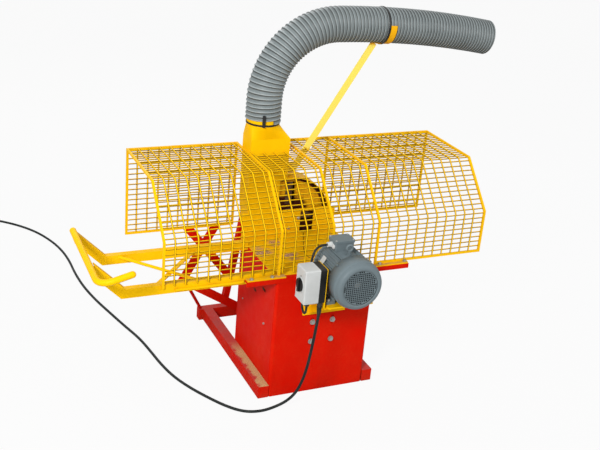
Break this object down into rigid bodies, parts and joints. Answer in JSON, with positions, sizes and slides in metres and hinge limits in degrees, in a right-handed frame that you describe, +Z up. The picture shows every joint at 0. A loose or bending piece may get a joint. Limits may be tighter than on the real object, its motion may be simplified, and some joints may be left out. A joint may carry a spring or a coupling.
{
  "type": "post peeling machine",
  "caption": "Floor-standing post peeler: knife disc in a ducted casing, wire mesh guard tunnel, infeed rails, electric motor on a bracket and a ribbed chip hose.",
  "frame": {"origin": "on the floor straight below the spindle, in the plane of the knife casing's front plate", "axes": "+X is the way a post travels, +Y points away from the operator, +Z is up"},
  "size_m": [2.3606, 2.6927, 1.6845],
  "materials": {
    "yellow_paint": "gloss",
    "worn_yellow": "worn satin",
    "pale_yellow": "satin",
    "red_paint": "gloss",
    "motor_paint": "satin",
    "bare_steel": "machined",
    "cast_housing": "as cast",
    "zinc_steel": "zinc plated",
    "hose_grey": "satin",
    "black_band": "satin",
    "black_plastic": "matte",
    "light_plastic": "semi gloss",
    "black_rubber": "matte"
  },
  "bodies": {
    "machine": {"casing_shell": "yellow_paint", "casing_front": "yellow_paint", "duct_collar": "yellow_paint", "motor_bracket": "yellow_paint", "switch_plate": "yellow_paint", "infeed_rails": "yellow_paint", "cradle_tube": "yellow_paint", "rail_braces": "yellow_paint", "guard_frames_left": "yellow_paint", "guard_frames_right": "yellow_paint", "guard_frame_middle": "yellow_paint", "guard_bars": "yellow_paint", "guard_flats": "yellow_paint", "front_belt_cover": "yellow_paint", "rear_belt_cover": "yellow_paint", "mesh_left": "yellow_paint", "mesh_middle": "yellow_paint", "mesh_right": "yellow_paint", "deck": "worn_yellow", "hose_strut": "pale_yellow", "feet": "red_paint", "rear_cross_tube": "red_paint", "base_shell": "red_paint", "front_beam": "red_paint", "stay_posts": "red_paint", "stay_braces": "red_paint", "slide_plate": "red_paint", "lay_shaft_plate": "red_paint", "motor_frame": "motor_paint", "motor_end_shields": "motor_paint", "fan_cover": "motor_paint", "terminal_box": "motor_paint", "eye_bolt": "motor_paint", "front_bearing": "cast_housing", "rear_bearing": "cast_housing", "lay_shaft_bearings": "cast_housing", "panel_bolts": "zinc_steel", "hose": "hose_grey", "hose_clamp": "black_band", "switch_base": "black_plastic", "glands": "black_plastic", "hose_tie": "black_plastic", "switch_cover": "light_plastic", "motor_cable": "black_rubber", "mains_cord": "black_rubber", "cord_coil": "black_rubber", "plug": "black_rubber", "front_belt": "black_rubber", "rear_belt": "black_rubber"},
    "rotor": {"cutter_disc": "worn_yellow", "knives": "bare_steel", "spindle": "bare_steel", "spindle_pulley": "cast_housing"},
    "lay_shaft": {"lay_shaft": "bare_steel", "lay_shaft_pulleys": "cast_housing"},
    "motor": {"motor_rotor": "bare_steel", "motor_fan": "black_plastic", "motor_pulley": "cast_housing"},
    "knob": {"switch_knob": "black_plastic"}
  },
  "joints": [
    {"name": "spindle_spin", "type": "hinge", "parent": "machine", "child": "rotor", "pos_m": [0, 0, 0.68], "axis": [0, 1, 0], "continuous": true},
    {"name": "lay_shaft_spin", "type": "hinge", "parent": "machine", "child": "lay_shaft", "pos_m": [0, 0, 0.33], "axis": [0, 1, 0], "continuous": true},
    {"name": "motor_spin", "type": "hinge", "parent": "machine", "child": "motor", "pos_m": [0, -0.55, 0.68], "axis": [0, 1, 0], "continuous": true},
    {"name": "switch_turn", "type": "hinge", "parent": "machine", "child": "knob", "pos_m": [-0.22, -0.632, 0.666], "axis": [-1, 0, 0], "range_deg": [0, 90]}
  ],
  "couplings": [
    {"joint": "lay_shaft_spin", "follows": "spindle_spin", "ratio": 1},
    {"joint": "motor_spin", "follows": "spindle_spin", "ratio": 1}
  ]
}
